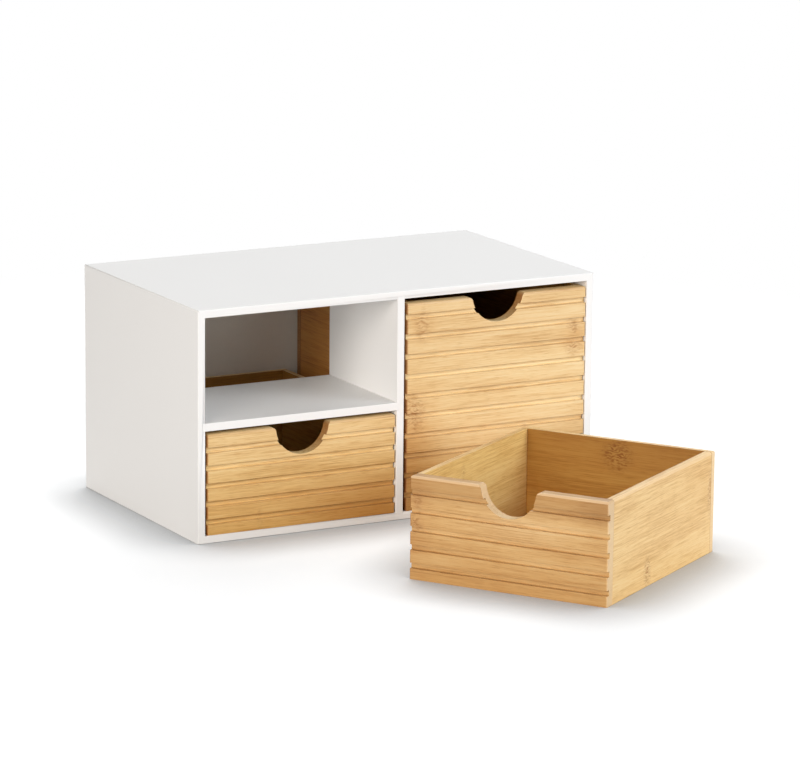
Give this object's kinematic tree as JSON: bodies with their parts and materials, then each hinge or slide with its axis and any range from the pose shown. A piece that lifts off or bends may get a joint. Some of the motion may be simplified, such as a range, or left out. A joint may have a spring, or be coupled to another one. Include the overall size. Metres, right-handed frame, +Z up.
{
  "type": "desktop mini drawers",
  "caption": "Low white lacquered cabinet with a tall bay beside stacked low bays, and grooved bamboo box drawers with finger notches, one drawer standing in front.",
  "frame": {"origin": "centre of the cabinet's base, on the surface it stands on", "axes": "+Z up, +Y from the cabinet's open front to its back, +X to the right as seen from the front"},
  "size_m": [0.334, 0.4807, 0.175],
  "materials": {
    "white_lacquer": "smooth white satin lacquer over board",
    "back_board": "thin board, matt white on its faces",
    "bamboo_front": "laminated bamboo with a satin clear coat, grain along the grooves",
    "bamboo_board": "laminated bamboo with a satin clear coat",
    "bamboo_bottom": "thin bamboo board with a satin clear coat"
  },
  "bodies": {
    "cabinet": {"cabinet_top": "white_lacquer", "cabinet_bottom": "white_lacquer", "cabinet_left_side": "white_lacquer", "cabinet_right_side": "white_lacquer", "cabinet_back_panel": "back_board", "cabinet_shelf": "white_lacquer", "cabinet_divider": "white_lacquer"},
    "lower_drawer": {"lower_drawer_front": "bamboo_front", "lower_drawer_back": "bamboo_board", "lower_drawer_left_side": "bamboo_board", "lower_drawer_right_side": "bamboo_board", "lower_drawer_bottom": "bamboo_bottom"},
    "tall_drawer": {"tall_drawer_front": "bamboo_front", "tall_drawer_back": "bamboo_board", "tall_drawer_left_side": "bamboo_board", "tall_drawer_right_side": "bamboo_board", "tall_drawer_bottom": "bamboo_bottom"},
    "upper_drawer": {"upper_drawer_front": "bamboo_front", "upper_drawer_back": "bamboo_board", "upper_drawer_left_side": "bamboo_board", "upper_drawer_right_side": "bamboo_board", "upper_drawer_bottom": "bamboo_bottom"}
  },
  "joints": [
    {"name": "lower_drawer_slide", "type": "slide", "parent": "cabinet", "child": "lower_drawer", "axis": [0, -1, 0], "range_m": [0, 0.102]},
    {"name": "tall_drawer_slide", "type": "slide", "parent": "cabinet", "child": "tall_drawer", "axis": [0, -1, 0], "range_m": [0, 0.05]},
    {"name": "upper_drawer_lift", "type": "slide", "parent": "cabinet", "child": "upper_drawer", "axis": [0, 0, 1], "range_m": [0, 0.18]}
  ]
}
